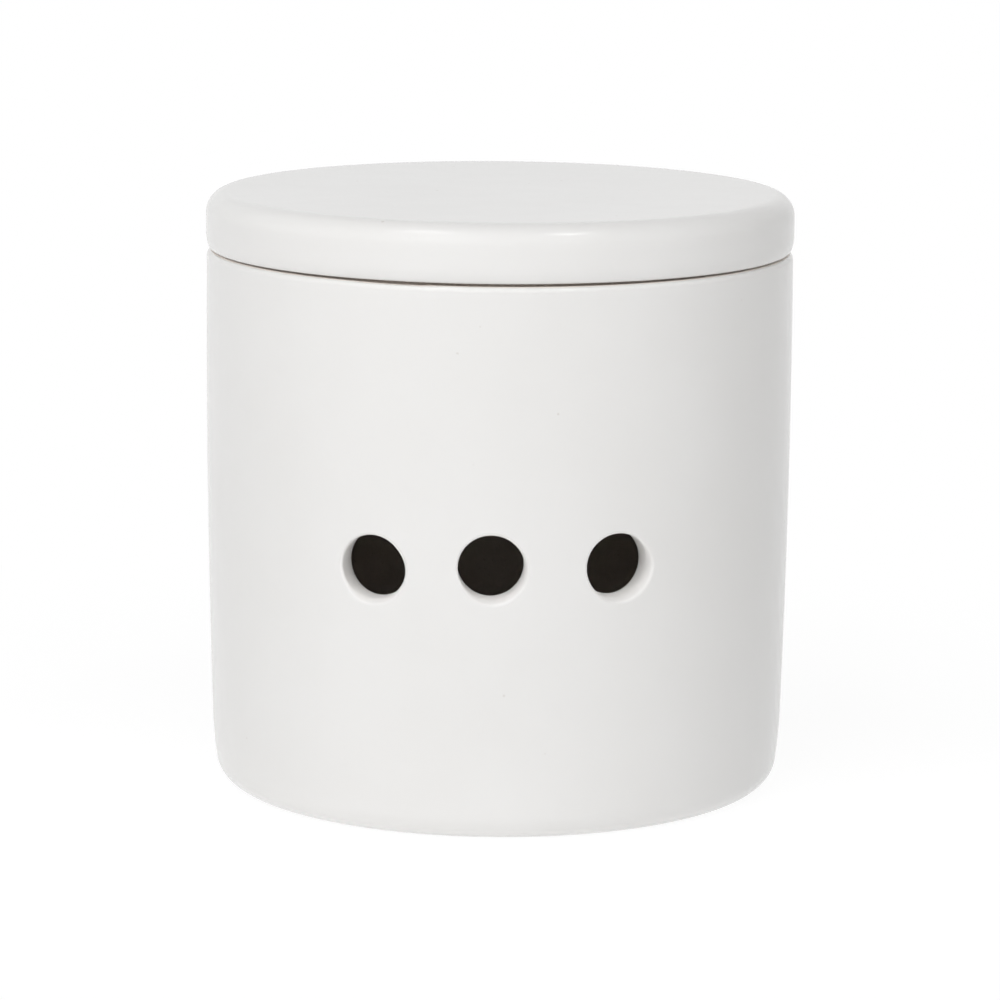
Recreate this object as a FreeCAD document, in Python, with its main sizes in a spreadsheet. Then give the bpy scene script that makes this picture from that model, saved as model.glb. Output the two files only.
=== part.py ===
import FreeCAD, Part
import math
import os
import Sketcher

# Garlic keeper: a stoneware jar with three vents in its wall, and a loose stoneware lid.
# The jar stands on z = 0 with its axis on the Z axis and its vents towards -Y.

# Driving sizes, in millimetres and degrees
SIZES = {
    "jar_height": 110.6,        # foot to the land that carries the lid
    "rim_radius": 59.86,        # outside of the wall just under the rim
    "wall": 6.4,                # thickness of the wall
    "side_round": 2505.0,       # the wall's outside is one long, nearly straight curve
    "heel_height": 14.9,        # where that curve turns into the heel
    "heel_inset": 0.93,         # how far the wall has drawn in by then
    "heel_round": 95.0,         # slow curve of the heel
    "base_round": 5.7,          # corner between the heel and the foot
    "foot_ring_width": 6.0,     # flat ring that the jar stands on
    "foot_recess": 1.5,         # hollow of the underside inside that ring
    "foot_edge_round": 0.6,     # inner edge of that ring
    "floor_thickness": 5.5,     # floor of the jar, over the hollow of the underside
    "cavity_round": 10.0,       # inside corner between the floor and the wall
    "rim_corner_round": 1.3,    # outer corner of the rim
    "rim_shoulder": 3.2,        # from the wall's outside to the flat land
    "rim_shoulder_round": 6.0,  # slow fall from the land to that corner
    "rim_inner_round": 1.0,     # inner edge of the rim
    "vent_radius": 6.5,         # three round vents through the front wall
    "vent_height": 54.6,        # foot to the middle of the vents
    "vent_azimuth": 23.7,       # outer vents, as seen from the jar's axis
    "vent_splay": 14.0,         # their tunnels point less far outwards than that
    "vent_outer_round": 0.9,    # outside edge of a vent
    "vent_inner_round": 0.7,    # inside edge of a vent
    "lid_overhang": 0.14,       # how far the lid's side stands out from the wall's under the rim
    "lid_thickness": 11.6,      # seat to top face
    "lid_top_round": 4.4,       # upper edge
    "lid_flank_height": 3.0,    # the lid's side draws in below this height
    "lid_flank_round": 7.0,     # by this slow curve
    "lid_corner_round": 0.9,    # lower corner, beside the seat
    "lid_plate": 7.0,           # thickness in the middle, over the hollow
    "lid_hollow_round": 3.0,    # inside corner of the hollow
    "ring_clearance": 1.0,      # between the locating ring and the jar's mouth
    "ring_depth": 7.0,          # locating ring below the seat
    "ring_wall": 5.0,           # thickness of the locating ring
    "ring_edge_round": 1.6,     # lower edges of the locating ring
    "ring_root_round": 0.5,     # inside corner between the locating ring and the seat
}

# Vents by name, with the way that each one turns from the front
VENTS = {"left": -1, "middle": 0, "right": 1}

# Radii that follow the rim's
MOUTH_RADIUS = "Sizes.rim_radius - Sizes.wall"
RING_RADIUS = f"{MOUTH_RADIUS} - Sizes.ring_clearance"
HOLLOW_RADIUS = f"{RING_RADIUS} - Sizes.ring_wall"
LID_RADIUS = "Sizes.rim_radius + Sizes.lid_overhang"

CUT_MARGIN = 5.0  # how far a cut runs past what it cuts
TOUCH = 0.01      # two places closer than this are the same

# How a sketch names the points of an edge, and its own origin
START, END, CENTRE = range(1, 4)
ORIGIN = (-1, START)


def start_document():
    """Open the document and write the driving sizes into its sheet."""
    document = FreeCAD.newDocument("garlic_keeper")
    sheet = document.addObject("Spreadsheet::Sheet", "Sizes")
    for row, (name, value) in enumerate(SIZES.items(), start=1):
        sheet.set(f"A{row}", name)
        sheet.set(f"B{row}", str(value))
        sheet.setAlias(f"B{row}", name)
    document.recompute()
    return document


def new_sketch(body, name, role):
    """An empty sketch on the body's own origin plane of this role."""
    sketch = body.newObject("Sketcher::SketchObject", name)
    plane = next(item for item in body.Origin.OriginFeatures if item.Role == role)
    sketch.AttachmentSupport = [(plane, "")]
    sketch.MapMode = "FlatFace"
    sketch.Visibility = False
    return sketch


def add_line(sketch, start, end):
    """Add a straight edge and return its number."""
    return sketch.addGeometry(Part.LineSegment(FreeCAD.Vector(*start), FreeCAD.Vector(*end)))


def add_arc(sketch, centre, radius, start_angle, end_angle):
    """Add an anticlockwise arc, its angles in radians, and return its number."""
    circle = Part.Circle(FreeCAD.Vector(*centre), FreeCAD.Vector(0, 0, 1), radius)
    return sketch.addGeometry(Part.ArcOfCircle(circle, start_angle, end_angle))


def add_circle(sketch, centre, radius):
    """Add a full circle, which starts and ends at its top, and return its number."""
    circle = Part.Circle(FreeCAD.Vector(*centre), FreeCAD.Vector(0, 0, 1), radius)
    circle.AngleXU = math.pi / 2
    return sketch.addGeometry(circle)


def join(sketch, kind, edges):
    """Join each edge's end to the next one's start, as a corner or smoothly."""
    for first, second in zip(edges, edges[1:]):
        sketch.addConstraint(Sketcher.Constraint(kind, first, END, second, START))


def align(sketch, kind, *edges):
    """Keep straight edges horizontal or vertical."""
    for edge in edges:
        sketch.addConstraint(Sketcher.Constraint(kind, edge))


def bind(sketch, name, expression, kind, *where):
    """Add a named dimension whose value follows the sheet."""
    value = float(sketch.evalExpression(expression))
    index = sketch.addConstraint(Sketcher.Constraint(kind, *where, value))
    sketch.renameConstraint(index, name)
    sketch.setExpression(f"Constraints.{name}", expression)


def place(sketch, name, edge, point, across=None, up=None):
    """Hold one point of an edge at distances from the sketch's origin."""
    if across is not None:
        bind(sketch, f"{name}_across", across, "DistanceX", *ORIGIN, edge, point)
    if up is not None:
        bind(sketch, f"{name}_up", up, "DistanceY", *ORIGIN, edge, point)


def bind_rounds(sketch, rounds):
    """Give each arc or circle its radius from the sheet."""
    for name, edge in rounds.items():
        bind(sketch, name, f"Sizes.{name}", "Radius", edge)


def turn_profile(body, kind, name, sketch):
    """Turn a half section about its upright axis, to add material or to cut it."""
    feature = body.newObject(kind, name)
    feature.Profile = sketch
    feature.ReferenceAxis = (sketch, ["V_Axis"])
    feature.Angle = 360.0
    body.Document.recompute()
    return feature


def extrude_profile(body, kind, name, sketch, length):
    """Pad or pocket a sketch against that feature's usual direction, by a length from the sheet."""
    feature = body.newObject(kind, name)
    feature.Profile = sketch
    feature.Reversed = True
    feature.setExpression("Length", length)
    body.Document.recompute()
    return feature


def check_cut(feature):
    """A cut that points away from the solid removes nothing and reports no error."""
    least_cut = 1.0
    if feature.BaseFeature.Shape.Volume - feature.Shape.Volume < least_cut:
        raise RuntimeError(f"{feature.Name} cuts nothing")


def round_edges(body, size, wanted):
    """Round those edges of the body whose points all meet a condition."""
    base = body.Tip
    names = []
    for number, edge in enumerate(base.Shape.Edges, start=1):
        if all(wanted(point) for point in edge.discretize(Number=9)):
            names.append(f"Edge{number}")
    if not names:
        raise RuntimeError(f"{body.Name} has no edges for {size}")
    feature = body.newObject("PartDesign::Fillet", f"{size}_edges")
    feature.Base = (base, names)
    feature.setExpression("Radius", f"Sizes.{size}")
    body.Document.recompute()


def from_axis(point):
    return math.hypot(point.x, point.y)


def on_circle(radius, height):
    """Condition for the points of a level circle about the axis, in the body's own frame."""
    return lambda point: abs(from_axis(point) - radius) < TOUCH and abs(point.z - height) < TOUCH


def on_ground(edge):
    """Whether an edge is a circle in the plane that the jar stands on."""
    return isinstance(edge.Curve, Part.Circle) and abs(edge.Curve.Center.z) < TOUCH


def centre_within(outer_centre, outer_round, inner_round, height):
    """Centre, at a known height, of an arc that touches a larger one from within."""
    rise = height - outer_centre[1]
    run = math.sqrt((outer_round - inner_round) ** 2 - rise ** 2)
    return (outer_centre[0] + run, height), math.atan2(rise, run)


def draw_jar_outside(body):
    """Half section of the jar before it is hollowed: foot, heel, side, rim corner and land."""
    size = SIZES
    sketch = new_sketch(body, "jar_outside_section", "XZ_Plane")

    # The side's arc runs from the heel to the rim
    heel_radius = size["rim_radius"] - size["heel_inset"]
    side_rise = size["jar_height"] - size["rim_corner_round"] - size["heel_height"]
    side_lean = math.atan(size["heel_inset"] / side_rise)
    half_turn = math.asin(0.5 * math.hypot(side_rise, size["heel_inset"]) / size["side_round"])
    heel_turn = -side_lean - half_turn
    rim_turn = -side_lean + half_turn

    def centre_behind(radius):
        """Centre of an arc that passes the heel at the side's own slope."""
        return (
            heel_radius - radius * math.cos(heel_turn),
            size["heel_height"] - radius * math.sin(heel_turn),
        )

    heel_centre = centre_behind(size["heel_round"])
    base_centre, base_turn = centre_within(
        heel_centre, size["heel_round"], size["base_round"], size["base_round"]
    )
    foot_radius = base_centre[0]
    recess_radius = foot_radius - size["foot_ring_width"]

    # The shoulder's arc leaves the land level and runs into the corner's arc
    land_radius = size["rim_radius"] - size["rim_shoulder"]
    shoulder_centre = (land_radius, size["jar_height"] - size["rim_shoulder_round"])
    corner_run = size["rim_shoulder"] - size["rim_corner_round"]
    corner_reach = size["rim_shoulder_round"] - size["rim_corner_round"]
    corner_turn = math.acos(corner_run / corner_reach)
    corner_centre = (
        land_radius + corner_run,
        shoulder_centre[1] + corner_reach * math.sin(corner_turn),
    )

    recess = add_line(sketch, (0, size["foot_recess"]), (recess_radius, size["foot_recess"]))
    recess_side = add_line(sketch, (recess_radius, size["foot_recess"]), (recess_radius, 0))
    foot = add_line(sketch, (recess_radius, 0), (foot_radius, 0))
    base = add_arc(sketch, base_centre, size["base_round"], -math.pi / 2, base_turn)
    heel = add_arc(sketch, heel_centre, size["heel_round"], base_turn, heel_turn)
    side_centre = centre_behind(size["side_round"])
    side = add_arc(sketch, side_centre, size["side_round"], heel_turn, rim_turn)
    corner = add_arc(sketch, corner_centre, size["rim_corner_round"], rim_turn, corner_turn)
    shoulder = add_arc(
        sketch, shoulder_centre, size["rim_shoulder_round"], corner_turn, math.pi / 2
    )
    land = add_line(sketch, (land_radius, size["jar_height"]), (0, size["jar_height"]))
    axis = add_line(sketch, (0, size["jar_height"]), (0, size["foot_recess"]))

    join(sketch, "Tangent", (foot, base, heel, side, corner, shoulder, land))
    join(sketch, "Coincident", (land, axis, recess, recess_side, foot))
    align(sketch, "Horizontal", recess, foot, land)
    align(sketch, "Vertical", recess_side, axis)
    place(sketch, "recess", axis, END, across="0", up="Sizes.foot_recess")
    place(sketch, "foot", foot, END, up="0")
    bind(sketch, "ring_width", "Sizes.foot_ring_width", "DistanceX", foot, START, foot, END)
    heel_across = "Sizes.rim_radius - Sizes.heel_inset"
    place(sketch, "heel", side, START, across=heel_across, up="Sizes.heel_height")
    place(sketch, "rim", side, END, across="Sizes.rim_radius")
    land_across = "Sizes.rim_radius - Sizes.rim_shoulder"
    place(sketch, "land", land, START, across=land_across, up="Sizes.jar_height")
    bind_rounds(sketch, {
        "base_round": base,
        "heel_round": heel,
        "side_round": side,
        "rim_corner_round": corner,
        "rim_shoulder_round": shoulder,
    })
    return sketch


def draw_jar_cavity(body):
    """Half section of the room inside: level floor, round corner and a wall like the outside."""
    size = SIZES
    sketch = new_sketch(body, "jar_cavity_section", "XZ_Plane")
    bottom = size["foot_recess"] + size["floor_thickness"]
    mouth_radius = size["rim_radius"] - size["wall"]
    low_radius = mouth_radius - size["heel_inset"]
    corner = size["cavity_round"]
    bend_centre = (low_radius - corner, bottom + corner)
    top = size["jar_height"] + CUT_MARGIN

    floor = add_line(sketch, (0, bottom), (bend_centre[0], bottom))
    bend = add_arc(sketch, bend_centre, corner, -math.pi / 2, 0)
    wall = add_line(sketch, (low_radius, bend_centre[1]), (mouth_radius, size["jar_height"]))
    mouth = add_line(sketch, (mouth_radius, size["jar_height"]), (mouth_radius, top))
    cover = add_line(sketch, (mouth_radius, top), (0, top))
    axis = add_line(sketch, (0, top), (0, bottom))

    join(sketch, "Tangent", (floor, bend, wall))
    join(sketch, "Coincident", (wall, mouth, cover, axis, floor))
    align(sketch, "Horizontal", floor, cover)
    align(sketch, "Vertical", mouth, axis)
    place(sketch, "floor", axis, END, across="0", up="Sizes.foot_recess + Sizes.floor_thickness")
    place(sketch, "wall_foot", wall, START, across=f"{MOUTH_RADIUS} - Sizes.heel_inset")
    place(sketch, "mouth", wall, END, across=MOUTH_RADIUS, up="Sizes.jar_height")
    place(sketch, "cover", mouth, END, up=f"Sizes.jar_height + {CUT_MARGIN}")
    bind_rounds(sketch, {"cavity_round": bend})
    return sketch


def cut_vent(body, side, turn):
    """One vent. It leaves the wall at the vents' azimuth, and its tunnel points at their splay."""
    sketch = new_sketch(body, f"vent_{side}_circle", "XZ_Plane")
    upright = FreeCAD.Vector(0, 1, 0)
    first_turn = math.copysign(SIZES["vent_splay"], turn)
    sketch.AttachmentOffset = FreeCAD.Placement(
        FreeCAD.Vector(), FreeCAD.Rotation(upright, first_turn)
    )
    sketch.setExpression("AttachmentOffset.Rotation.Angle", f"{turn} * Sizes.vent_splay")
    aside = f"{turn} * Sizes.rim_radius * sin((Sizes.vent_azimuth - Sizes.vent_splay) * 1 deg)"
    centre = (float(sketch.evalExpression(aside)), SIZES["vent_height"])
    circle = add_circle(sketch, centre, SIZES["vent_radius"])
    place(sketch, "vent", circle, CENTRE, across=aside, up="Sizes.vent_height")
    bind_rounds(sketch, {"vent_radius": circle})
    past_wall = f"Sizes.rim_radius + {CUT_MARGIN}"
    check_cut(extrude_profile(body, "PartDesign::Pocket", f"vent_{side}", sketch, past_wall))


def build_jar(document):
    """The jar, one fired piece: hollow, open at the top, with vents through the front wall."""
    size = SIZES
    body = document.addObject("PartDesign::Body", "jar")
    turn_profile(body, "PartDesign::Revolution", "jar_outside", draw_jar_outside(body))
    check_cut(turn_profile(body, "PartDesign::Groove", "jar_cavity", draw_jar_cavity(body)))
    round_edges(
        body, "rim_inner_round", on_circle(size["rim_radius"] - size["wall"], size["jar_height"])
    )
    for side, turn in VENTS.items():
        cut_vent(body, side, turn)

    wall_middle = size["rim_radius"] - 0.5 * (size["wall"] + size["heel_inset"])
    highest = size["vent_radius"] + TOUCH

    def at_vents(point):
        return point.y < 0 and abs(point.z - size["vent_height"]) < highest

    round_edges(
        body, "vent_outer_round", lambda point: at_vents(point) and from_axis(point) > wall_middle
    )
    round_edges(
        body, "vent_inner_round", lambda point: at_vents(point) and from_axis(point) < wall_middle
    )
    foot_edges = [edge for edge in body.Tip.Shape.Edges if on_ground(edge)]
    inner_edge = min(foot_edges, key=lambda edge: edge.Curve.Radius)
    round_edges(body, "foot_edge_round", on_circle(inner_edge.Curve.Radius, 0))


def draw_lid_disc(body):
    """Half section of the solid disc: seat, lower corner, flank, side, upper edge and top."""
    size = SIZES
    sketch = new_sketch(body, "lid_disc_section", "XZ_Plane")
    lid_radius = size["rim_radius"] + size["lid_overhang"]
    flank_centre = (lid_radius - size["lid_flank_round"], size["lid_flank_height"])
    corner_centre, corner_turn = centre_within(
        flank_centre, size["lid_flank_round"], size["lid_corner_round"], size["lid_corner_round"]
    )
    top_round = size["lid_top_round"]
    top_centre = (lid_radius - top_round, size["lid_thickness"] - top_round)

    seat = add_line(sketch, (0, 0), (corner_centre[0], 0))
    corner = add_arc(
        sketch, corner_centre, size["lid_corner_round"], -math.pi / 2, corner_turn
    )
    flank = add_arc(sketch, flank_centre, size["lid_flank_round"], corner_turn, 0)
    side = add_line(sketch, (lid_radius, flank_centre[1]), (lid_radius, top_centre[1]))
    upper = add_arc(sketch, top_centre, top_round, 0, math.pi / 2)
    top = add_line(sketch, (top_centre[0], size["lid_thickness"]), (0, size["lid_thickness"]))
    axis = add_line(sketch, (0, size["lid_thickness"]), (0, 0))

    join(sketch, "Tangent", (seat, corner, flank, side, upper, top))
    join(sketch, "Coincident", (top, axis, seat))
    align(sketch, "Horizontal", seat, top)
    align(sketch, "Vertical", side, axis)
    place(sketch, "middle", seat, START, across="0", up="0")
    place(sketch, "side", side, START, across=LID_RADIUS, up="Sizes.lid_flank_height")
    place(sketch, "top", top, END, up="Sizes.lid_thickness")
    bind_rounds(sketch, {
        "lid_corner_round": corner,
        "lid_flank_round": flank,
        "lid_top_round": upper,
    })
    return sketch


def draw_circles(body, name, radii):
    """Circles about the axis in the plane of the lid's seat, each radius an expression."""
    sketch = new_sketch(body, name, "XY_Plane")
    for number, radius in enumerate(radii, start=1):
        circle = add_circle(sketch, (0, 0), float(sketch.evalExpression(radius)))
        sketch.addConstraint(Sketcher.Constraint("Coincident", circle, CENTRE, *ORIGIN))
        bind(sketch, f"circle_{number}", radius, "Radius", circle)
    return sketch


def build_lid(document):
    """The lid, one fired piece: a thick disc, hollow underneath, with a ring that hangs in the mouth."""
    size = SIZES
    body = document.addObject("PartDesign::Body", "lid")
    turn_profile(body, "PartDesign::Revolution", "lid_disc", draw_lid_disc(body))
    ring = draw_circles(body, "locating_ring_circles", (RING_RADIUS, HOLLOW_RADIUS))
    extrude_profile(body, "PartDesign::Pad", "locating_ring", ring, "Sizes.ring_depth")
    hollow = draw_circles(body, "lid_hollow_circle", (HOLLOW_RADIUS,))
    hollow_depth = "Sizes.lid_thickness - Sizes.lid_plate"
    check_cut(
        extrude_profile(body, "PartDesign::Pocket", "lid_hollow", hollow, hollow_depth)
    )

    ring_radius = size["rim_radius"] - size["wall"] - size["ring_clearance"]
    hollow_radius = ring_radius - size["ring_wall"]
    ceiling = size["lid_thickness"] - size["lid_plate"]
    round_edges(body, "lid_hollow_round", on_circle(hollow_radius, ceiling))
    round_edges(body, "ring_root_round", on_circle(ring_radius, 0))
    round_edges(
        body, "ring_edge_round", lambda point: abs(point.z + size["ring_depth"]) < TOUCH
    )
    body.setExpression("Placement.Base.z", "Sizes.jar_height")
    document.recompute()


def write_parts(document):
    """Check every object of the document, then write each body to a file of its own."""
    for item in document.Objects:
        if "Invalid" in item.State or "Error" in item.State:
            raise RuntimeError(f"{item.Name} failed: {item.State}")
    bodies = [item for item in document.Objects if item.TypeId == "PartDesign::Body"]
    for body in bodies:
        if body.Shape.isNull() or not body.Shape.isValid():
            raise RuntimeError(f"{body.Label} has no valid shape")
    os.makedirs("parts", exist_ok=True)
    for body in bodies:
        body.Shape.exportStep(f"parts/{body.Label}.step")
        print(body.Label, round(body.Shape.Volume), "cubic mm")


keeper = start_document()
build_jar(keeper)
build_lid(keeper)
write_parts(keeper)
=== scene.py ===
import math

import bmesh
import bpy
from mathutils import Matrix, Vector


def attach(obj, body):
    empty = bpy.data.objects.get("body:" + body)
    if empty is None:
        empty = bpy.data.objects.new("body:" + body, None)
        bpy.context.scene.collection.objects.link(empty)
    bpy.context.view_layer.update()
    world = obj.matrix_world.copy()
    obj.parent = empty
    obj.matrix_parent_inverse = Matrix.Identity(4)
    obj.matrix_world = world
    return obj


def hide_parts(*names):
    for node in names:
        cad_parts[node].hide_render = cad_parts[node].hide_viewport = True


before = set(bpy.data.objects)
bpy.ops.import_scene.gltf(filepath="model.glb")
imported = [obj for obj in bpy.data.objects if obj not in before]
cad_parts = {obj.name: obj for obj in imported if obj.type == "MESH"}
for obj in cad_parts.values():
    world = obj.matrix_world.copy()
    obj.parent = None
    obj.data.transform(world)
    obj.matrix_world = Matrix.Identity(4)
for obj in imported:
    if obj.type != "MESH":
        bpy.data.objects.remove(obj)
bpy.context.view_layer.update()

# Jar
# A round stoneware jar, cast and fired as one piece, with three vents bored through its front
# wall. Its outside and the vents carry a satin white glaze. The room inside, the land under the
# lid and the foot are wiped bare before the firing.
MM = 0.001
JAR_HEIGHT = 110.6 * MM
RIM_RADIUS = 59.86 * MM
WALL = 6.4 * MM
SIDE_ROUND = 2505.0 * MM
HEEL_HEIGHT = 14.9 * MM
HEEL_INSET = 0.93 * MM
HEEL_ROUND = 95.0 * MM
BASE_ROUND = 5.7 * MM
FOOT_RING_WIDTH = 6.0 * MM
FOOT_RECESS = 1.5 * MM
FOOT_EDGE_ROUND = 0.6 * MM
FLOOR_TOP = 7.0 * MM
CAVITY_ROUND = 10.0 * MM
RIM_CORNER_ROUND = 1.3 * MM
RIM_SHOULDER = 3.2 * MM
RIM_SHOULDER_ROUND = 6.0 * MM
RIM_INNER_ROUND = 1.0 * MM
VENT_RADIUS = 6.5 * MM
VENT_HEIGHT = 54.6 * MM
VENT_AZIMUTH = math.radians(23.7)
VENT_SPLAY = math.radians(14.0)
VENT_INNER_ROUND = 0.7 * MM
VENT_OUTER_ROUND = 0.5 * MM

# The vents' outer edges were sponged before the glaze, most at the lower right, where the
# rounding is wider and drawn out along the tunnel
VENT_WORN_ROUND = 1.1 * MM
VENT_WORN_DEPTH = 2.4                  # times as deep as it is wide
VENT_WORN_TURN = math.radians(-55.0)   # from the vent's right
VENT_WORN_SPREAD = (-0.2, 0.8)         # cosines off that direction where it starts and is full

# The vents were bored by hand, so each is a little off its even place: the side it lies on, how
# far it is turned towards the right, how much higher it is, and how far its tunnel is turned
VENTS = {
    "left": (-1, math.radians(0.28), -0.42 * MM, math.radians(1.3)),
    "middle": (0, math.radians(-0.4), 0.6 * MM, math.radians(3.1)),
    "right": (1, math.radians(0.26), 0.33 * MM, math.radians(2.4)),
}

SEGMENTS = 256             # steps around a turned piece
TURN_RADIUS = 20.0 * MM    # of the path along which a half section is turned
WELD = 0.001 * MM          # points closer than this become one, as on the axis
WINDOW_STEPS = 16          # steps along each side of the opening that a vent is set into
WINDOW_PITCH = 1.46 * MM   # height of one such step
WINDOW_HALF = WINDOW_STEPS / 2 * WINDOW_PITCH
WINDOW_START = -0.375      # the opening's lower left corner, in turns around the vent
EDGE_STEPS = 8             # steps over a vent's rounded edge
FACE_SHARES = (0.05, 0.14, 0.32, 0.54, 0.77)       # rows from a vent's edge to its opening
TUNNEL_SHARES = (0.06, 0.2, 0.4, 0.6, 0.8, 0.94)   # rows from its outer edge to the inner one
GLAZE_ROW = 0.4 * MM       # how far one row of a vent lies from the next, for the glaze's edge

# Satin white glaze over warm pale clay
GLAZE_DEEP = (0.816, 0.808, 0.794, 1.0)
GLAZE_LIGHT = (0.832, 0.825, 0.813, 1.0)
# Painted light: a whiter glaze for the vents' tunnels, which brightens their walls
GLAZE_PAINTED_LIGHT = (0.945, 0.93, 0.91, 1.0)
IRON_SPECK = (0.42, 0.36, 0.30, 1.0)
CLAY_DEEP = (0.85, 0.78, 0.72, 1.0)
CLAY_LIGHT = (0.89, 0.825, 0.775, 1.0)
CLAY_GRAIN = (0.52, 0.46, 0.40, 1.0)

# Fettling and firing leave the walls with slow shallow waves
WAVE_DEPTH = 0.04 * MM
WAVES_PER_METRE = 45.0


class Nodes:
    """Nodes of a material or of a Geometry Nodes tree, added one by one."""

    def __init__(self, tree):
        self.tree = tree

    def add(self, kind, settings=(), **sockets):
        """Add one node: its settings first, then its values and links. Returns its outputs."""
        node = self.tree.nodes.new(kind)
        for name, value in dict(settings).items():
            setattr(node, name, value)
        for label, value in sockets.items():
            usable = [socket for socket in node.inputs if socket.enabled]
            exact = [socket for socket in usable if socket.identifier == label]
            named = [socket for socket in usable if socket.name == label.replace("_", " ")]
            self.give((exact + named)[0], value)
        return {socket.name: Value(self, socket) for socket in node.outputs if socket.enabled}

    def give(self, socket, value):
        """Link a value to an input, or write a plain one there."""
        if isinstance(value, Value):
            self.tree.links.new(value.socket, socket)
        else:
            socket.default_value = value


class Value:
    """An output of a node, on which sums are written as plain sums."""

    def __init__(self, nodes, socket):
        self.nodes = nodes
        self.socket = socket

    def maths(self, operation, first, second):
        node = self.nodes.tree.nodes.new("ShaderNodeMath")
        node.operation = operation
        self.nodes.give(node.inputs[0], first)
        self.nodes.give(node.inputs[1], second)
        return Value(self.nodes, node.outputs["Value"])

    def __add__(self, other):
        return self.maths("ADD", self, other)

    def __sub__(self, other):
        return self.maths("SUBTRACT", self, other)

    def __rsub__(self, other):
        return self.maths("SUBTRACT", other, self)

    def __mul__(self, other):
        return self.maths("MULTIPLY", self, other)

    __radd__ = __add__
    __rmul__ = __mul__


class ShapeTree(Nodes):
    """A Geometry Nodes tree with named inputs, which turns one mesh into another."""

    def __init__(self, name, inputs):
        super().__init__(bpy.data.node_groups.new(name, "GeometryNodeTree"))
        sockets = self.tree.interface
        sockets.new_socket("Geometry", in_out="INPUT", socket_type="NodeSocketGeometry")
        self.identifiers = {}
        for label, kind in inputs.items():
            socket = sockets.new_socket(label, in_out="INPUT", socket_type=f"NodeSocket{kind}")
            self.identifiers[label] = socket.identifier
        sockets.new_socket("Geometry", in_out="OUTPUT", socket_type="NodeSocketGeometry")
        self.given = self.add("NodeGroupInput")

    def end(self, geometry):
        """Close the tree with plain faces that carry their finish."""
        plain = self.add("GeometryNodeRealizeInstances", Geometry=geometry)["Geometry"]
        finished = self.add(
            "GeometryNodeSetMaterial", Geometry=plain, Material=self.given["Finish"],
        )["Geometry"]
        self.add("NodeGroupOutput", Geometry=finished)
        return self

    def shape(self, name, mesh, **values):
        """Run the tree on a mesh and return the result as a plain mesh."""
        source = bpy.data.objects.new(name, mesh)
        bpy.context.scene.collection.objects.link(source)
        modifier = source.modifiers.new("shape", "NODES")
        modifier.node_group = self.tree
        for label, value in values.items():
            modifier[self.identifiers[label.replace("_", " ")]] = value
        evaluated = source.evaluated_get(bpy.context.evaluated_depsgraph_get())
        result = bpy.data.meshes.new_from_object(evaluated)
        bpy.data.objects.remove(source)
        bpy.data.meshes.remove(mesh)
        result.name = name
        return result


def turning_tree():
    """Turns a half section, drawn with its axis upright, once around the Z axis."""
    tree = ShapeTree("turn_section", {
        "Segments": "Int", "Path Radius": "Float", "Weld": "Float", "Finish": "Material",
    })
    shift = tree.add("ShaderNodeCombineXYZ", X=tree.given["Path Radius"] * -1.0)["Vector"]
    on_path = tree.add(
        "GeometryNodeTransform",
        Geometry=tree.given["Geometry"], Translation=shift, Rotation=(math.pi, 0.0, 0.0),
    )["Geometry"]
    section = tree.add("GeometryNodeMeshToCurve", Mesh=on_path)["Curve"]
    path = tree.add(
        "GeometryNodeCurvePrimitiveCircle",
        Resolution=tree.given["Segments"], Radius=tree.given["Path Radius"],
    )["Curve"]
    turned = tree.add("GeometryNodeCurveToMesh", Curve=path, Profile_Curve=section)["Mesh"]
    welded = tree.add(
        "GeometryNodeMergeByDistance", Geometry=turned, Distance=tree.given["Weld"],
    )["Geometry"]
    return tree.end(tree.add("GeometryNodeSetShadeSmooth", Geometry=welded)["Geometry"])


def hand_finish_tree():
    """Sinks a surface here and there by a hair, as fettling and firing leave it."""
    tree = ShapeTree("hand_finish", {
        "Depth": "Float", "Waves Per Metre": "Float", "Seed": "Float", "Finish": "Material",
    })
    waves = tree.add(
        "ShaderNodeTexNoise", {"noise_dimensions": "4D"},
        Vector=tree.add("GeometryNodeInputPosition")["Position"],
        W=tree.given["Seed"], Scale=tree.given["Waves Per Metre"], Detail=1.0,
    )
    height = next(iter(waves.values())) * tree.given["Depth"] * -1.0
    normal = tree.add("GeometryNodeInputNormal")["Normal"]
    inward = tree.add("ShaderNodeVectorMath", {"operation": "SCALE"}, Vector=normal, Scale=height)
    return tree.end(tree.add(
        "GeometryNodeSetPosition", Geometry=tree.given["Geometry"], Offset=inward["Vector"],
    )["Geometry"])


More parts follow.
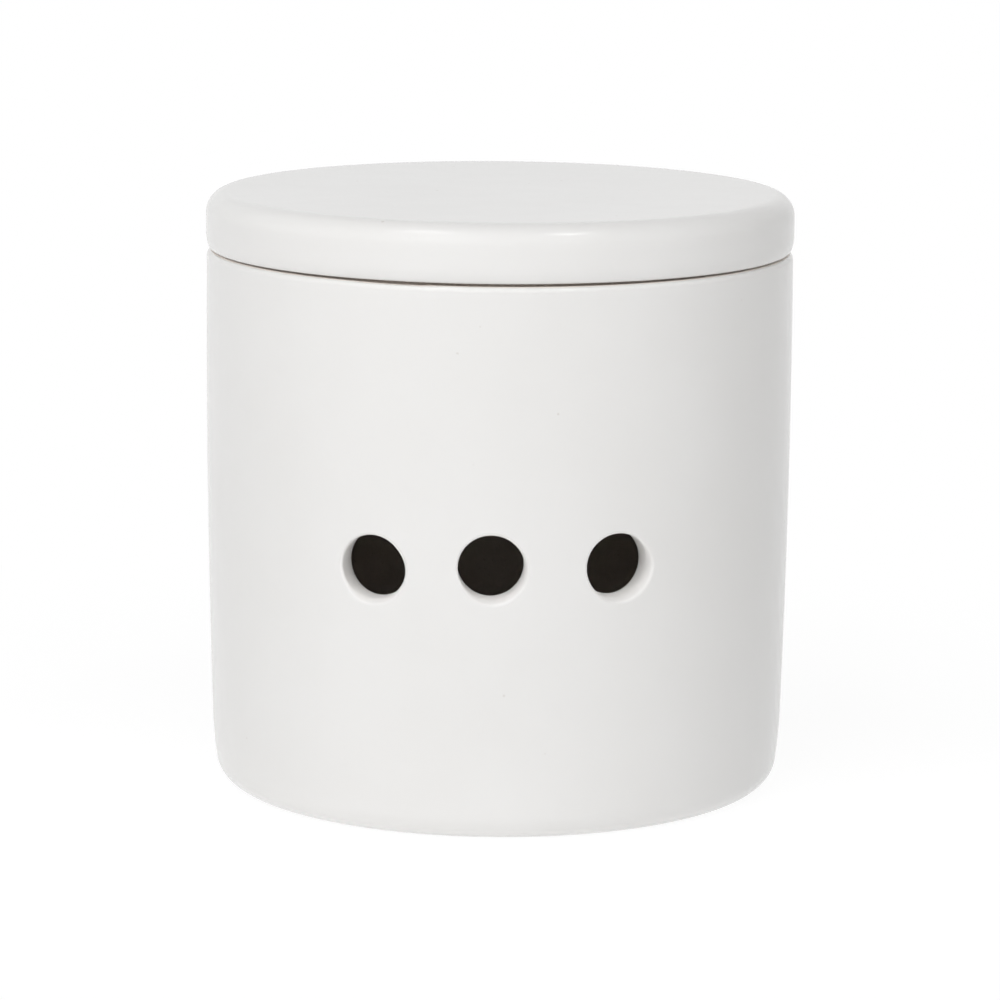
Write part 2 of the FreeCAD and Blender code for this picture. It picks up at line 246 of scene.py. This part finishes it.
def white_ware():
    """Satin white glaze over warm pale clay, which shows wherever the glaze was wiped off."""
    material = bpy.data.materials.new("white_ware")
    material.use_nodes = True
    finish = Nodes(material.node_tree)
    finish.tree.nodes.clear()
    place = finish.add("ShaderNodeTexCoord")["Object"]

    def noise(scale, detail=2.0):
        return finish.add("ShaderNodeTexNoise", Vector=place, Scale=scale, Detail=detail)["Fac"]

    def step(value, low, high):
        return finish.add(
            "ShaderNodeMapRange", {"interpolation_type": "SMOOTHSTEP"},
            Value=value, From_Min=low, From_Max=high,
        )["Result"]

    def blend(share, first, second):
        return finish.add(
            "ShaderNodeMix", {"data_type": "RGBA"}, Factor=share, A=first, B=second,
        )["Result"]

    # Distance past the glaze's edge, which wanders a little, and the bead that the glaze ends in
    past_glaze = finish.add("ShaderNodeAttribute", {"attribute_name": "past_glaze"})["Fac"]
    edge = past_glaze + (noise(220.0) - 0.5) * (0.5 * MM)
    bare = step(edge, -0.06 * MM, 0.06 * MM)
    bead = step(edge, -1.6 * MM, -0.6 * MM) * (1.0 - step(edge, -0.4 * MM, 0.1 * MM))

    # The glaze clouds softly, a few grains of iron in the clay show through as faint specks, and
    # in the vents' tunnels it is less glossy and painted whiter, painted light that brightens
    # their walls
    glaze_colour = blend(step(noise(28.0), 0.3, 0.7), GLAZE_DEEP, GLAZE_LIGHT)
    grains = finish.add("ShaderNodeTexVoronoi", Vector=place, Scale=260.0)["Distance"]
    specks = (1.0 - step(grains, 0.05, 0.11)) * step(noise(95.0, 0.0), 0.70, 0.74)
    # Painted light: the glaze is painted whiter into the vents' tunnels, and it is less glossy
    # there
    matte_and_painted_light = finish.add("ShaderNodeAttribute", {"attribute_name": "matte_and_painted_light"})["Fac"]
    glaze_colour = blend(matte_and_painted_light, glaze_colour, GLAZE_PAINTED_LIGHT)
    ripples = noise(900.0, 1.0) * (0.003 * MM) + noise(150.0, 1.0) * (0.012 * MM)
    glaze_height = ripples + bead * (0.05 * MM)
    glaze = finish.add(
        "ShaderNodeBsdfPrincipled",
        Base_Color=blend(specks * 0.3, glaze_colour, IRON_SPECK),
        Roughness=0.18 + 0.06 * noise(60.0) + 0.6 * matte_and_painted_light,
        IOR=1.5,
        Normal=finish.add("ShaderNodeBump", Distance=1.0, Height=glaze_height)["Normal"],
    )["BSDF"]

    # The bare clay is rough, and mottled by its coarser grains
    grain = noise(1500.0, 3.0)
    clay_tone = blend(noise(45.0, 4.0), CLAY_DEEP, CLAY_LIGHT)
    clay = finish.add(
        "ShaderNodeBsdfPrincipled",
        Base_Color=blend(step(grain, 0.62, 0.74) * 0.35, clay_tone, CLAY_GRAIN),
        Roughness=0.78 + 0.14 * noise(300.0),
        IOR=1.45,
        Normal=finish.add("ShaderNodeBump", Distance=1.0, Height=grain * (0.04 * MM))["Normal"],
    )["BSDF"]
    shown = finish.add("ShaderNodeMixShader", Fac=bare, Shader=glaze, Shader_001=clay)["Shader"]
    finish.add("ShaderNodeOutputMaterial", Surface=shown)
    return material


def arc(centre, radius, start, end, steps):
    """Points of an arc between two angles, without its first point."""
    turns = [start + (end - start) * step / steps for step in range(1, steps + 1)]
    return [(centre[0] + radius * math.cos(t), centre[1] + radius * math.sin(t)) for t in turns]


def run(start, end, steps):
    """Points of a straight run, without its first point."""
    shares = [step / steps for step in range(1, steps + 1)]
    return [tuple(a + (b - a) * share for a, b in zip(start, end)) for share in shares]


def section_mesh(name, points, glaze_edges):
    """A half section as a chain of edges.

    Each point knows how far it lies past the glaze's edge. The chain starts on bare clay, and
    the glaze runs from the first of the given points to the second, if there is one.
    """
    lengths = [0.0]
    for first, second in zip(points, points[1:]):
        lengths.append(lengths[-1] + math.dist(first, second))
    past_glaze = []
    for length in lengths:
        distances = [lengths[glaze_edges[0]] - length]
        distances += [length - lengths[edge] for edge in glaze_edges[1:]]
        past_glaze.append(max(distances))
    mesh = bpy.data.meshes.new(name)
    verts = [(radius, height, 0.0) for radius, height in points]
    mesh.from_pydata(verts, [(n, n + 1) for n in range(len(verts) - 1)], [])
    mesh.attributes.new("past_glaze", "FLOAT", "POINT").data.foreach_set("value", past_glaze)
    return mesh


# The wall's outside is a long slow arc between the heel and the rim
QUARTER = math.pi / 2
side_rise = JAR_HEIGHT - RIM_CORNER_ROUND - HEEL_HEIGHT
side_lean = math.atan(HEEL_INSET / side_rise)
half_turn = math.asin(0.5 * math.hypot(side_rise, HEEL_INSET) / SIDE_ROUND)
heel_turn = -side_lean - half_turn
rim_turn = -side_lean + half_turn
heel_radius = RIM_RADIUS - HEEL_INSET
side_centre = (
    heel_radius - SIDE_ROUND * math.cos(heel_turn),
    HEEL_HEIGHT - SIDE_ROUND * math.sin(heel_turn),
)
heel_centre = (
    heel_radius - HEEL_ROUND * math.cos(heel_turn),
    HEEL_HEIGHT - HEEL_ROUND * math.sin(heel_turn),
)
base_rise = BASE_ROUND - heel_centre[1]
base_run = math.sqrt((HEEL_ROUND - BASE_ROUND) ** 2 - base_rise ** 2)
base_centre = (heel_centre[0] + base_run, BASE_ROUND)
base_turn = math.atan2(base_rise, base_run)

# The rim falls slowly from its flat land to a small outer corner
mouth_radius = RIM_RADIUS - WALL
land_radius = RIM_RADIUS - RIM_SHOULDER
shoulder_centre = (land_radius, JAR_HEIGHT - RIM_SHOULDER_ROUND)
corner_run = RIM_SHOULDER - RIM_CORNER_ROUND
corner_reach = RIM_SHOULDER_ROUND - RIM_CORNER_ROUND
corner_turn = math.acos(corner_run / corner_reach)
corner_centre = (
    land_radius + corner_run,
    shoulder_centre[1] + corner_reach * math.sin(corner_turn),
)


def outside_radius(height):
    """Outside of the wall, between the heel and the rim."""
    return side_centre[0] + math.sqrt(SIDE_ROUND ** 2 - (height - side_centre[1]) ** 2)


def inside_radius(height):
    """Inside of the wall, above the round corner of the floor."""
    low = FLOOR_TOP + CAVITY_ROUND
    return mouth_radius - HEEL_INSET * (JAR_HEIGHT - height) / (JAR_HEIGHT - low)


def wall_rows(low, high, spacing):
    """Heights of a wall's rows, with even rows where the vents are set in."""
    window_low = VENT_HEIGHT - WINDOW_HALF
    window_high = VENT_HEIGHT + WINDOW_HALF
    below = round((window_low - low) / spacing)
    above = round((high - window_high) / spacing)
    rows = [low + (window_low - low) * step / below for step in range(1, below)]
    rows += [window_low + WINDOW_PITCH * step for step in range(WINDOW_STEPS + 1)]
    rows += [window_high + (high - window_high) * step / above for step in range(1, above + 1)]
    return rows


# From the middle of the floor up the inside, over the rim and down to the middle underneath
ROW = 2.3 * MM         # usual height of a wall's row
NEAR_EDGE = 0.3 * MM   # one narrow row beside each rounded edge keeps its highlight clean
FOOT_WIPED_STEPS = 2   # steps of the base's round that were wiped bare with the foot
bend_centre = (mouth_radius - HEEL_INSET - CAVITY_ROUND, FLOOR_TOP + CAVITY_ROUND)
jar_points = [(0.0, FLOOR_TOP)]
jar_points += run(jar_points[0], (bend_centre[0], FLOOR_TOP), 12)
jar_points += arc(bend_centre, CAVITY_ROUND, -QUARTER, 0.0, 14)
mouth_low = JAR_HEIGHT - RIM_INNER_ROUND
for height in wall_rows(bend_centre[1], mouth_low - NEAR_EDGE, ROW) + [mouth_low]:
    jar_points.append((inside_radius(height), height))
mouth_centre = (jar_points[-1][0] + RIM_INNER_ROUND, mouth_low)
jar_points += arc(mouth_centre, RIM_INNER_ROUND, math.pi, QUARTER, 7)
jar_points += run(jar_points[-1], (land_radius, JAR_HEIGHT), 5)
jar_points += arc(shoulder_centre, RIM_SHOULDER_ROUND, QUARTER, corner_turn, 16)
rim_edge = len(jar_points) - 1
jar_points += arc(corner_centre, RIM_CORNER_ROUND, corner_turn, rim_turn, 14)
side_high = jar_points[-1][1] - NEAR_EDGE
for height in reversed(wall_rows(HEEL_HEIGHT, side_high, ROW)):
    jar_points.append((outside_radius(height), height))
jar_points.append((heel_radius, HEEL_HEIGHT))
jar_points += arc(heel_centre, HEEL_ROUND, heel_turn, base_turn, 7)
jar_points += arc(base_centre, BASE_ROUND, base_turn, -QUARTER, 16)
foot_edge = len(jar_points) - 1 - FOOT_WIPED_STEPS
recess_radius = base_centre[0] - FOOT_RING_WIDTH
recess_centre = (recess_radius + FOOT_EDGE_ROUND, FOOT_EDGE_ROUND)
jar_points += run(jar_points[-1], (recess_centre[0], 0.0), 4)
jar_points += arc(recess_centre, FOOT_EDGE_ROUND, -QUARTER, -math.pi, 5)
jar_points += run(jar_points[-1], (recess_radius, FOOT_RECESS), 3)
jar_points += run(jar_points[-1], (0.0, FOOT_RECESS), 12)


def azimuth_of(point):
    """Direction of a point as seen from the axis, from the front towards +X."""
    return math.atan2(point.x, -point.y)


def eased(value, low, high):
    """A soft step from 0 to 1 between two values."""
    share = min(max((value - low) / (high - low), 0.0), 1.0)
    return share * share * (3.0 - 2.0 * share)


def band(value, rise, fall):
    """1 between two soft steps, each given by where it starts and ends."""
    return eased(value, *rise) * (1.0 - eased(value, *fall))


# Heights and depths that the wiping left on the rim
BEAD_HEIGHT = 0.2 * MM
GROOVE_DEPTH = 0.48 * MM
RUN_DEPTH = 0.12 * MM
RUN_START = (-32.0, -20.0)   # azimuths in degrees between which the run deepens
RUN_END = (-13.6, -12.4)     # and between which it ends


def wiped_rim(point):
    """How far a point of the rim lies off its even place.

    Inside the glaze's edge the bare land was wiped to a groove, deepest at the front and the
    back. A shallow run of the same wiping reaches into the glaze just left of the front, and
    the glaze's edge stands a little proud at the sides.
    """
    radius = point.xy.length
    across = radius - (RIM_RADIUS - RIM_CORNER_ROUND)
    front_or_back = (point.y / max(radius, mouth_radius)) ** 2
    groove = eased(radius, land_radius - 0.3 * MM, land_radius + 0.5 * MM)
    groove *= front_or_back * (1.0 - eased(across, -0.05 * MM, 0.2 * MM))
    into_glaze = band(math.degrees(azimuth_of(point)), RUN_START, RUN_END)
    into_glaze *= band(across, (-0.2 * MM, 0.0), (0.3 * MM, 1.1 * MM))
    bead = (1.0 - front_or_back) * band(across, (-0.4 * MM, 0.0), (0.3 * MM, 1.2 * MM))
    return BEAD_HEIGHT * bead - GROOVE_DEPTH * groove - RUN_DEPTH * into_glaze


def take_out_window(bm, azimuth, in_wall):
    """Take out the faces of one side of the wall around a vent.

    Returns the verts around the opening, from the lower one with the least azimuth.
    """
    step = math.tau / SEGMENTS
    middle = round(azimuth / step) * step
    half = WINDOW_STEPS / 2 * step

    def across(point):
        return ((azimuth_of(point) - middle + math.pi) % math.tau - math.pi) / half

    def up(point):
        return (point.z - VENT_HEIGHT) / WINDOW_HALF

    taken = []
    for face in bm.faces:
        spot = face.calc_center_median()
        if abs(up(spot)) < 1.0 and abs(across(spot)) < 1.0 and in_wall(spot.xy.length):
            taken.append(face)
    around = {vert for face in taken for vert in face.verts}
    bmesh.ops.delete(bm, geom=taken, context="FACES")
    around = [vert for vert in around if vert.is_valid]
    around.sort(key=lambda vert: math.atan2(up(vert.co), across(vert.co)))
    first = around.index(min(around, key=lambda vert: up(vert.co) + across(vert.co)))
    return around[first:] + around[:first]


def rounded_edge(angle, aside, middle, radius_at, size, side, flare=1.0):
    """Section of a vent's rounded edge, at one angle around the tunnel's middle line.

    It starts on the tunnel and ends on the wall's outside, where side is 1, or its inside. The
    flare draws it out along the tunnel. Returns points as distances from the tunnel's middle
    line and along it.
    """
    reach = VENT_RADIUS + size
    sideways = aside + reach * math.cos(angle)
    along = math.sqrt(radius_at(middle + reach * math.sin(angle)) ** 2 - sideways ** 2)
    slope = -sideways / along * math.cos(angle)
    centre = (reach, along - side * size * math.hypot(1.0, slope))
    face_turn = math.atan2(side, -side * slope)
    section = [(VENT_RADIUS, centre[1])]
    section += arc(centre, size, side * math.pi, face_turn, EDGE_STEPS)
    face_distance, face_along = section[-1]

    def drawn_out(distance, height):
        face = face_along + slope * (distance - face_distance)
        return distance, face + flare * (height - face)

    return [drawn_out(*point) for point in section]


def set_in_vent(bm, turn, azimuth_off, height_off, splay_off):
    """Bore one vent: a round tunnel through the wall, with both its edges rounded."""
    past_glaze = bm.verts.layers.float["past_glaze"]
    matte_and_painted_light = bm.verts.layers.float["matte_and_painted_light"]
    azimuth = turn * VENT_AZIMUTH + azimuth_off
    splay = turn * VENT_SPLAY + splay_off
    middle = VENT_HEIGHT + height_off
    outward = Vector((math.sin(splay), -math.cos(splay), 0.0))
    across = Vector((math.cos(splay), math.sin(splay), 0.0))
    aside = RIM_RADIUS * math.sin(azimuth - splay)
    inner_azimuth = splay + math.asin(aside / inside_radius(middle))
    wall_middle = 0.5 * (outside_radius(middle) + inside_radius(middle))
    outer_verts = take_out_window(bm, azimuth, lambda radius: radius > wall_middle)
    inner_verts = take_out_window(bm, inner_azimuth, lambda radius: radius < wall_middle)

    # One chain of points for each vert around the openings, from the outer to the inner one
    chains = []
    for number, (outer, inner) in enumerate(zip(outer_verts, inner_verts)):
        angle = math.tau * (number / len(outer_verts) + WINDOW_START)

        def on_ray(distance, along):
            sideways = aside + distance * math.cos(angle)
            return sideways, middle + distance * math.sin(angle), along

        def towards(edge_point, vert, radius_at):
            """Points on the wall between the rounded edge and the opening's own vert."""
            points = []
            for share in FACE_SHARES:
                sideways = edge_point[0] + (vert.co.dot(across) - edge_point[0]) * share
                height = edge_point[1] + (vert.co.z - edge_point[1]) * share
                along = math.sqrt(radius_at(height) ** 2 - sideways ** 2)
                points.append((sideways, height, along))
            return points

        edge_at = (angle, aside, middle)
        worn = eased(math.cos(angle - VENT_WORN_TURN), *VENT_WORN_SPREAD)
        outer_round = VENT_OUTER_ROUND + (VENT_WORN_ROUND - VENT_OUTER_ROUND) * worn
        flare = 1.0 + (VENT_WORN_DEPTH - 1.0) * worn
        outer_arc = rounded_edge(*edge_at, outside_radius, outer_round, 1, flare)
        inner_arc = rounded_edge(*edge_at, inside_radius, VENT_INNER_ROUND, -1)
        outer_arc = [on_ray(*point) for point in outer_arc]
        inner_arc = [on_ray(*point) for point in inner_arc]
        tunnel = [outer_arc[0]]
        for share in TUNNEL_SHARES:
            tunnel.append(tuple(a + (b - a) * share for a, b in zip(outer_arc[0], inner_arc[0])))
        outer_face = towards(outer_arc[-1], outer, outside_radius)
        inner_face = towards(inner_arc[-1], inner, inside_radius)
        glazed = outer_face[::-1] + outer_arc[:0:-1] + tunnel
        bare = inner_arc + inner_face
        verts = [outer]
        for place, (sideways, height, along) in enumerate(glazed + bare):
            spot = across * sideways + outward * along + Vector((0.0, 0.0, height))
            vert = bm.verts.new(spot)
            vert[past_glaze] = (place - len(glazed)) * GLAZE_ROW
            # Painted light: how far into the tunnel a point lies, where the glaze is painted
            # whiter
            vert[matte_and_painted_light] = eased(place, len(outer_face), len(glazed) - len(tunnel))
            verts.append(vert)
        chains.append(verts + [inner])
    for chain, following in zip(chains, chains[1:] + chains[:1]):
        for n in range(len(chain) - 1):
            bm.faces.new((chain[n], following[n], following[n + 1], chain[n + 1])).smooth = True


WARE = white_ware()
turn_section = turning_tree()
hand_finish = hand_finish_tree()


def turned(name, points, glaze_edges):
    """Turn a half section once around its axis."""
    return turn_section.shape(
        name, section_mesh(f"{name}_section", points, glaze_edges),
        Segments=SEGMENTS, Path_Radius=TURN_RADIUS, Weld=WELD, Finish=WARE,
    )


def fired(name, mesh, seed):
    """Give a turned mesh its shallow waves and put it in the scene as a piece."""
    waved = hand_finish.shape(
        name, mesh, Depth=WAVE_DEPTH, Waves_Per_Metre=WAVES_PER_METRE, Seed=seed, Finish=WARE,
    )
    piece = bpy.data.objects.new(name, waved)
    bpy.context.scene.collection.objects.link(piece)
    return piece


jar_mesh = turned("turned_jar", jar_points, (rim_edge, foot_edge))
bm = bmesh.new()
bm.from_mesh(jar_mesh)
# A share for each point that paints the vents' tunnels whiter and less glossy, painted light
bm.verts.layers.float.new("matte_and_painted_light")
for vert in bm.verts:
    if vert.co.z > JAR_HEIGHT - RIM_SHOULDER:
        vert.co.z += wiped_rim(vert.co)
for place in VENTS.values():
    set_in_vent(bm, *place)
bmesh.ops.recalc_face_normals(bm, faces=bm.faces)
bm.to_mesh(jar_mesh)
bm.free()
jar = fired("stoneware_jar", jar_mesh, seed=3.0)
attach(jar, "jar")
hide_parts("jar")

# Lid
# A thick stoneware disc, pressed and fired as one piece and glazed like the jar. It lies on the
# rim by its own weight, and the bare ring underneath hangs in the mouth and keeps it in place.
LID_OVERHANG = 0.14 * MM
LID_RADIUS = RIM_RADIUS + LID_OVERHANG
LID_THICKNESS = 11.6 * MM
LID_TOP_ROUND = 4.4 * MM
LID_FLANK_HEIGHT = 3.0 * MM
LID_FLANK_ROUND = 7.0 * MM
LID_CORNER_ROUND = 0.9 * MM
LID_CEILING = 4.6 * MM
LID_HOLLOW_ROUND = 3.0 * MM
RING_CLEARANCE = 1.0 * MM
RING_RADIUS = mouth_radius - RING_CLEARANCE
RING_DEPTH = 7.0 * MM
RING_WALL = 5.0 * MM
HOLLOW_RADIUS = RING_RADIUS - RING_WALL
RING_EDGE_ROUND = 1.6 * MM
RING_ROOT_ROUND = 0.5 * MM
SEAT_GLAZED = 1.5 * MM   # how far the glaze reaches under the disc's edge
NEAR_TOP = 1.0 * MM      # one narrow row beside the top's rounded edge keeps its highlight clean

# The firing warped the disc's edge: at the front and the back it lies clear of the rim
SEAT_LIFT = 0.08 * MM
SEAT_FLAT = 2.0 * MM     # width beside the ring that stayed flat

flank_centre = (LID_RADIUS - LID_FLANK_ROUND, LID_FLANK_HEIGHT)
flank_rise = LID_CORNER_ROUND - LID_FLANK_HEIGHT
flank_run = math.sqrt((LID_FLANK_ROUND - LID_CORNER_ROUND) ** 2 - flank_rise ** 2)
lid_corner_centre = (flank_centre[0] + flank_run, LID_CORNER_ROUND)
lid_corner_turn = math.atan2(flank_rise, flank_run)
top_centre = (LID_RADIUS - LID_TOP_ROUND, LID_THICKNESS - LID_TOP_ROUND)

# From the middle of the hollow over the ring and the seat to the middle of the top, seat at zero
ring_low = RING_EDGE_ROUND - RING_DEPTH
hollow_centre = (HOLLOW_RADIUS - LID_HOLLOW_ROUND, LID_CEILING - LID_HOLLOW_ROUND)
lid_points = [(0.0, LID_CEILING)]
lid_points += run(lid_points[0], (hollow_centre[0], LID_CEILING), 10)
lid_points += arc(hollow_centre, LID_HOLLOW_ROUND, QUARTER, 0.0, 8)
lid_points += run(lid_points[-1], (HOLLOW_RADIUS, ring_low), 5)
lid_points += arc(
    (HOLLOW_RADIUS + RING_EDGE_ROUND, ring_low), RING_EDGE_ROUND, -math.pi, -QUARTER, 7
)
lid_points += run(lid_points[-1], (RING_RADIUS - RING_EDGE_ROUND, -RING_DEPTH), 3)
lid_points += arc((RING_RADIUS - RING_EDGE_ROUND, ring_low), RING_EDGE_ROUND, -QUARTER, 0.0, 7)
lid_points += run(lid_points[-1], (RING_RADIUS, -RING_ROOT_ROUND), 5)
lid_points += arc(
    (RING_RADIUS + RING_ROOT_ROUND, -RING_ROOT_ROUND), RING_ROOT_ROUND, math.pi, QUARTER, 4
)
lid_points += run(lid_points[-1], (lid_corner_centre[0] - SEAT_GLAZED, 0.0), 7)
seat_edge = len(lid_points) - 1
lid_points += run(lid_points[-1], (lid_corner_centre[0], 0.0), 4)
lid_points += arc(lid_corner_centre, LID_CORNER_ROUND, -QUARTER, lid_corner_turn, 8)
lid_points += arc(flank_centre, LID_FLANK_ROUND, lid_corner_turn, 0.0, 7)
lid_points += run(lid_points[-1], (LID_RADIUS, top_centre[1]), 4)
lid_points += arc(top_centre, LID_TOP_ROUND, 0.0, QUARTER, 16)
lid_points += run(lid_points[-1], (top_centre[0] - NEAR_TOP, LID_THICKNESS), 2)
lid_points += run(lid_points[-1], (0.0, LID_THICKNESS), 20)

lid_mesh = turned("turned_lid", lid_points, (seat_edge,))
bm = bmesh.new()
bm.from_mesh(lid_mesh)
bmesh.ops.recalc_face_normals(bm, faces=bm.faces)
for vert in bm.verts:
    radius = vert.co.xy.length
    front_or_back = (vert.co.y / max(radius, RING_RADIUS)) ** 2
    outwards = eased(radius, RING_RADIUS + SEAT_FLAT, LID_RADIUS - LID_CORNER_ROUND)
    downwards = 1.0 - eased(vert.co.z, 0.0, LID_FLANK_HEIGHT)
    vert.co.z += SEAT_LIFT * front_or_back * outwards * downwards
bm.transform(Matrix.Translation((0.0, 0.0, JAR_HEIGHT)))
bm.to_mesh(lid_mesh)
bm.free()
lid = fired("stoneware_lid", lid_mesh, seed=8.0)
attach(lid, "lid")
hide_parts("lid")

# Studio
# A wide white floor in an even white room. Six broad lamps, the strongest at the front left, light
# the keeper softly and don't show in its glaze. Two small ones up high draw the short bright lines
# on the edges of the lid and the rim.
WHITE = (1.0, 1.0, 1.0, 1.0)
ROOM_LEVEL = 0.143                      # light of the room on the keeper
FLOOR_HALF = 6.0
FLOOR_SHADE = 0.82                      # the floor's paint, as it lights the keeper
FLOOR_LEVEL = 0.232                     # and the light that the floor adds by itself
SHADOW_SHADE = 0.15                     # the paint that shows the keeper's shadow
SHADOW_LEVEL = 0.90                     # and the light that makes it clear white elsewhere
SHADOW_FADE = (70.0 * MM, 250.0 * MM)   # distances from the axis between which it fades


def seen_rays(nodes):
    """1 for the camera's rays, straight or by way of a glossy or a clear surface."""
    rays = nodes.add("ShaderNodeLightPath")
    return rays["Is Camera Ray"] + rays["Is Glossy Ray"] + rays["Is Transmission Ray"]


def white_floor():
    """Shows as clear white to the camera, and dims only where the keeper shades it."""
    material = bpy.data.materials.new("white_floor")
    material.use_nodes = True
    finish = Nodes(material.node_tree)
    finish.tree.nodes.clear()

    def lit_paint(shade, level):
        paint = finish.add("ShaderNodeBsdfDiffuse", Color=(shade, shade, shade, 1.0))["BSDF"]
        glow = finish.add("ShaderNodeEmission", Color=WHITE, Strength=level)["Emission"]
        return finish.add("ShaderNodeAddShader", Shader=glow, Shader_001=paint)["Shader"]

    def mixed(share, first, second):
        return finish.add(
            "ShaderNodeMixShader", Fac=share, Shader=first, Shader_001=second,
        )["Shader"]

    place = finish.add("ShaderNodeTexCoord")["Object"]
    distance = finish.add("ShaderNodeVectorMath", {"operation": "LENGTH"}, Vector=place)["Value"]
    far = finish.add(
        "ShaderNodeMapRange", {"interpolation_type": "SMOOTHSTEP"},
        Value=distance, From_Min=SHADOW_FADE[0], From_Max=SHADOW_FADE[1],
    )["Result"]
    clear = mixed(far, lit_paint(SHADOW_SHADE, SHADOW_LEVEL), lit_paint(0.0, 1.0))
    shown = mixed(seen_rays(finish), lit_paint(FLOOR_SHADE, FLOOR_LEVEL), clear)
    finish.add("ShaderNodeOutputMaterial", Surface=shown)
    return material


floor_mesh = bpy.data.meshes.new("floor")
corners = [(-1, -1), (1, -1), (1, 1), (-1, 1)]
floor_verts = [(x * FLOOR_HALF, y * FLOOR_HALF, 0.0) for x, y in corners]
floor_mesh.from_pydata(floor_verts, [], [(0, 1, 2, 3)])
floor_mesh.materials.append(white_floor())
floor = bpy.data.objects.new("floor", floor_mesh)
bpy.context.scene.collection.objects.link(floor)

world = bpy.data.worlds.new("white_room")
world.use_nodes = True
room = Nodes(world.node_tree)
room.tree.nodes.clear()
dim = room.add("ShaderNodeBackground", Color=WHITE, Strength=ROOM_LEVEL)["Background"]
clear = room.add("ShaderNodeBackground", Color=WHITE, Strength=1.0)["Background"]
sky = room.add("ShaderNodeMixShader", Fac=seen_rays(room), Shader=dim, Shader_001=clear)["Shader"]
room.add("ShaderNodeOutputWorld", Surface=sky)
bpy.context.scene.world = world

LAMP_AIM = 60.0 * MM   # height on the axis that the lamps face


def soft_lamp(name, azimuth, elevation, power, distance=1.8, size=1.0, mirrored=False):
    """A square soft lamp that faces the keeper, and is mirrored in its glaze or not."""
    lamp = bpy.data.lights.new(name, "AREA")
    lamp.size = size
    lamp.energy = power
    side = math.radians(azimuth)
    rise = math.radians(elevation)
    level = math.cos(rise)
    way = Vector((math.sin(side) * level, -math.cos(side) * level, math.sin(rise)))
    holder = bpy.data.objects.new(name, lamp)
    holder.location = Vector((0.0, 0.0, LAMP_AIM)) + way * distance
    holder.rotation_euler = way.to_track_quat("Z", "Y").to_euler()
    holder.visible_glossy = mirrored
    bpy.context.scene.collection.objects.link(holder)


soft_lamp("front_left_lamp", -28.0, 35.0, power=10.3)
soft_lamp("front_right_lamp", 28.0, 35.0, power=6.0)
soft_lamp("front_fill_lamp", 0.0, 17.0, power=2.1)
soft_lamp("high_fill_lamp", 0.0, 60.0, power=3.4)
soft_lamp("side_lamp", -85.0, 20.0, power=4.45)
soft_lamp("back_lamp", 175.0, 20.0, power=4.0)
soft_lamp("left_line_lamp", -45.0, 63.0, power=1.5, distance=1.6, size=0.4, mirrored=True)
soft_lamp("right_line_lamp", 40.0, 60.0, power=1.6, distance=1.6, size=0.18, mirrored=True)

# Camera
# A long lens a little above the lid, a hair to the right of the middle vent. Its angles are in
# degrees, its lens and sensor in millimetres.
CAMERA_AZIMUTH = 0.7
CAMERA_DISTANCE = 930.2 * MM
CAMERA_HEIGHT = 227.2 * MM
CAMERA_ASIDE = 0.025   # how far it points past the jar's axis
CAMERA_DOWN = 10.313
CAMERA_ROLL = 0.469
LENS = 164.81
SENSOR = 36.0

camera_data = bpy.data.cameras.new("camera")
camera_data.sensor_width = SENSOR
camera_data.lens = LENS
camera_data.clip_end = 50.0
camera = bpy.data.objects.new("camera", camera_data)
stand = math.radians(CAMERA_AZIMUTH)
camera.location = (
    CAMERA_DISTANCE * math.sin(stand), -CAMERA_DISTANCE * math.cos(stand), CAMERA_HEIGHT,
)
heading = Matrix.Rotation(math.radians(CAMERA_AZIMUTH - CAMERA_ASIDE), 4, "Z")
pitch = Matrix.Rotation(math.radians(90.0 - CAMERA_DOWN), 4, "X")
roll = Matrix.Rotation(math.radians(CAMERA_ROLL), 4, "Z")
camera.rotation_euler = (heading @ pitch @ roll).to_euler()
bpy.context.scene.collection.objects.link(camera)
bpy.context.scene.camera = camera

bpy.context.scene.view_settings.view_transform = "Standard"
